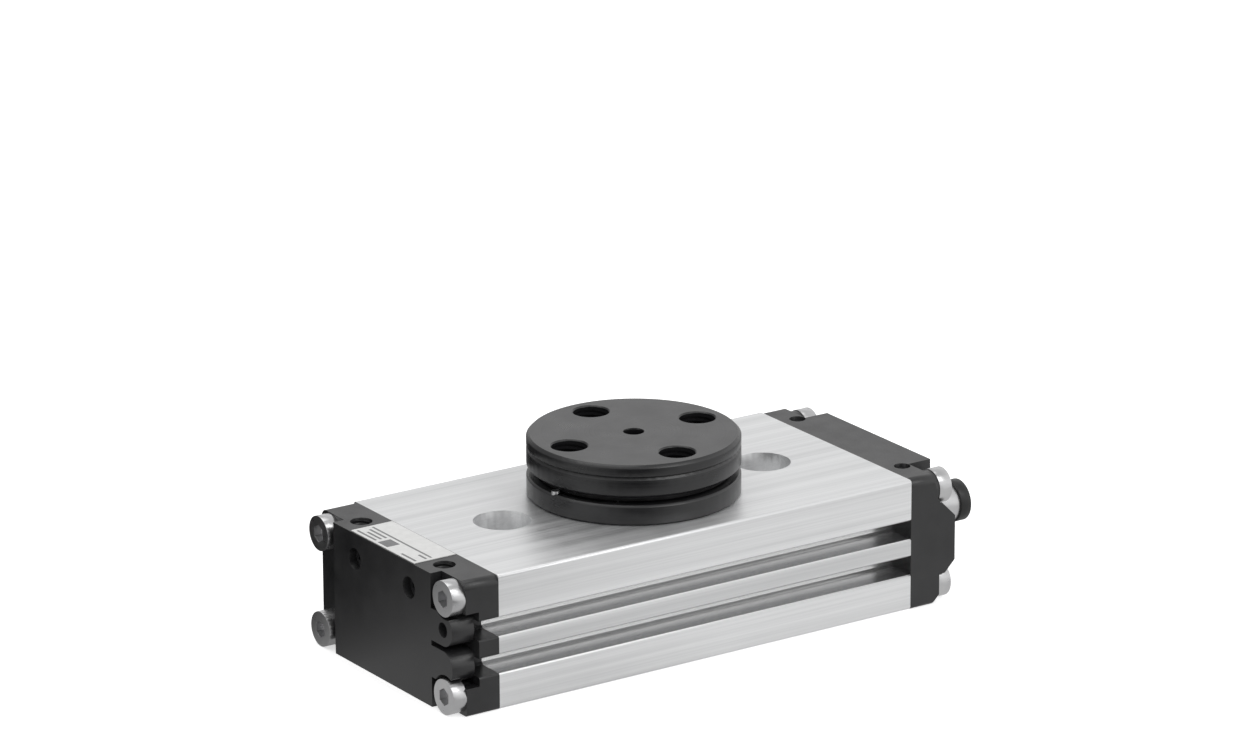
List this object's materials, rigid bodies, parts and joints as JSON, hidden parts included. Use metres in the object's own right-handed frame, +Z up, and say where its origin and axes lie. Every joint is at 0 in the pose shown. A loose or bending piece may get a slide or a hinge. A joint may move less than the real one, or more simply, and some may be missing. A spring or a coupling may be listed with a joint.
{
  "type": "rotary pneumatic actuator",
  "caption": "Rack-and-pinion rotary pneumatic actuator with a flanged turning table, slotted extruded housing and black end caps.",
  "frame": {"origin": "on the base plane, under the table's axis, midway between the two mounting holes", "axes": "+X along the cylinders towards the end stops, +Y away from the side with the throttle needle, +Z up along the table's axis"},
  "size_m": [0.1256, 0.05, 0.0378],
  "materials": {
    "housing_aluminium": "clear anodised, drawn lengthwise",
    "cap_black": "black anodised, satin",
    "table_black": "dark anodised, satin, turned",
    "screw_steel": "bright zinc plated",
    "black_steel": "black oxide",
    "bearing_steel": "polished",
    "gear_steel": "ground",
    "cage_brass": "pressed",
    "seal_rubber": "nitrile, matt",
    "washer_rubber": "bonded seal",
    "buffer_elastomer": "polyurethane",
    "guide_plastic": "filled PTFE",
    "magnet_grey": "plastic-bonded ferrite",
    "knob_black": "fine knurl",
    "label_white": "printed film, blank"
  },
  "bodies": {
    "housing": {"housing": "housing_aluminium", "left_end_cap": "cap_black", "right_end_cap": "cap_black", "left_cap_screws": "screw_steel", "right_cap_screws": "screw_steel", "left_cap_o_rings": "seal_rubber", "right_cap_o_rings": "seal_rubber", "label": "label_white", "bearing_cover": "table_black", "bearing_cover_screws": "black_steel", "index_pin": "screw_steel", "shaft_seal": "seal_rubber", "upper_bearing_outer_ring": "bearing_steel", "lower_bearing_outer_ring": "bearing_steel", "bottom_cover": "table_black", "bottom_cover_screws": "black_steel", "left_port_plugs": "black_steel", "right_port_plugs": "black_steel", "throttle_needle": "black_steel", "lock_nuts": "screw_steel", "seal_washers": "washer_rubber"},
    "rotor": {"rotary_table": "table_black", "pinion_shaft": "gear_steel", "table_bolt": "black_steel", "table_dowels": "bearing_steel", "upper_bearing_inner_ring": "bearing_steel", "lower_bearing_inner_ring": "bearing_steel"},
    "upper_cage": {"upper_bearing_cage": "cage_brass", "upper_bearing_balls": "bearing_steel"},
    "lower_cage": {"lower_bearing_cage": "cage_brass", "lower_bearing_balls": "bearing_steel"},
    "near_piston": {"near_rack_piston": "gear_steel", "near_piston_seals": "seal_rubber", "near_guide_rings": "guide_plastic", "near_magnet": "magnet_grey"},
    "far_piston": {"far_rack_piston": "gear_steel", "far_piston_seals": "seal_rubber", "far_guide_rings": "guide_plastic", "far_magnet": "magnet_grey"},
    "near_stop_pad": {"near_stop_buffer": "buffer_elastomer"},
    "near_stop": {"near_stop_screw": "screw_steel", "near_stop_knob": "knob_black"},
    "far_stop_pad": {"far_stop_buffer": "buffer_elastomer"},
    "far_stop": {"far_stop_screw": "screw_steel", "far_stop_knob": "knob_black"}
  },
  "joints": [
    {"name": "table_spin", "type": "hinge", "parent": "housing", "child": "rotor", "pos_m": [0, 0, 0.0239], "axis": [0, 0, 1], "range_deg": [-90, 90]},
    {"name": "near_piston_slide", "type": "slide", "parent": "housing", "child": "near_piston", "axis": [1, 0, 0], "range_m": [-0.01257, 0.01257]},
    {"name": "far_piston_slide", "type": "slide", "parent": "housing", "child": "far_piston", "axis": [1, 0, 0], "range_m": [-0.01257, 0.01257]},
    {"name": "upper_cage_spin", "type": "hinge", "parent": "housing", "child": "upper_cage", "pos_m": [0, 0, 0.0239], "axis": [0, 0, 1], "range_deg": [-40, 40]},
    {"name": "lower_cage_spin", "type": "hinge", "parent": "housing", "child": "lower_cage", "pos_m": [0, 0, 0.0042], "axis": [0, 0, 1], "range_deg": [-40, 40]},
    {"name": "near_stop_travel", "type": "slide", "parent": "housing", "child": "near_stop_pad", "axis": [1, 0, 0], "range_m": [0, 0.0024]},
    {"name": "near_stop_turn", "type": "hinge", "parent": "near_stop_pad", "child": "near_stop", "pos_m": [0.06, -0.0097, 0.0134], "axis": [-1, 0, 0], "range_deg": [0, 1081]},
    {"name": "far_stop_travel", "type": "slide", "parent": "housing", "child": "far_stop_pad", "axis": [1, 0, 0], "range_m": [0, 0.0024]},
    {"name": "far_stop_turn", "type": "hinge", "parent": "far_stop_pad", "child": "far_stop", "pos_m": [0.06, 0.0097, 0.0134], "axis": [-1, 0, 0], "range_deg": [0, 1081]}
  ],
  "couplings": [
    {"joint": "near_piston_slide", "follows": "table_spin", "m_per_rad": 0.008},
    {"joint": "far_piston_slide", "follows": "table_spin", "m_per_rad": -0.008},
    {"joint": "upper_cage_spin", "follows": "table_spin", "ratio": 0.4327},
    {"joint": "lower_cage_spin", "follows": "table_spin", "ratio": 0.4333},
    {"joint": "near_stop_turn", "follows": "near_stop_travel", "rad_per_m": 7854},
    {"joint": "far_stop_turn", "follows": "far_stop_travel", "rad_per_m": 7854}
  ]
}
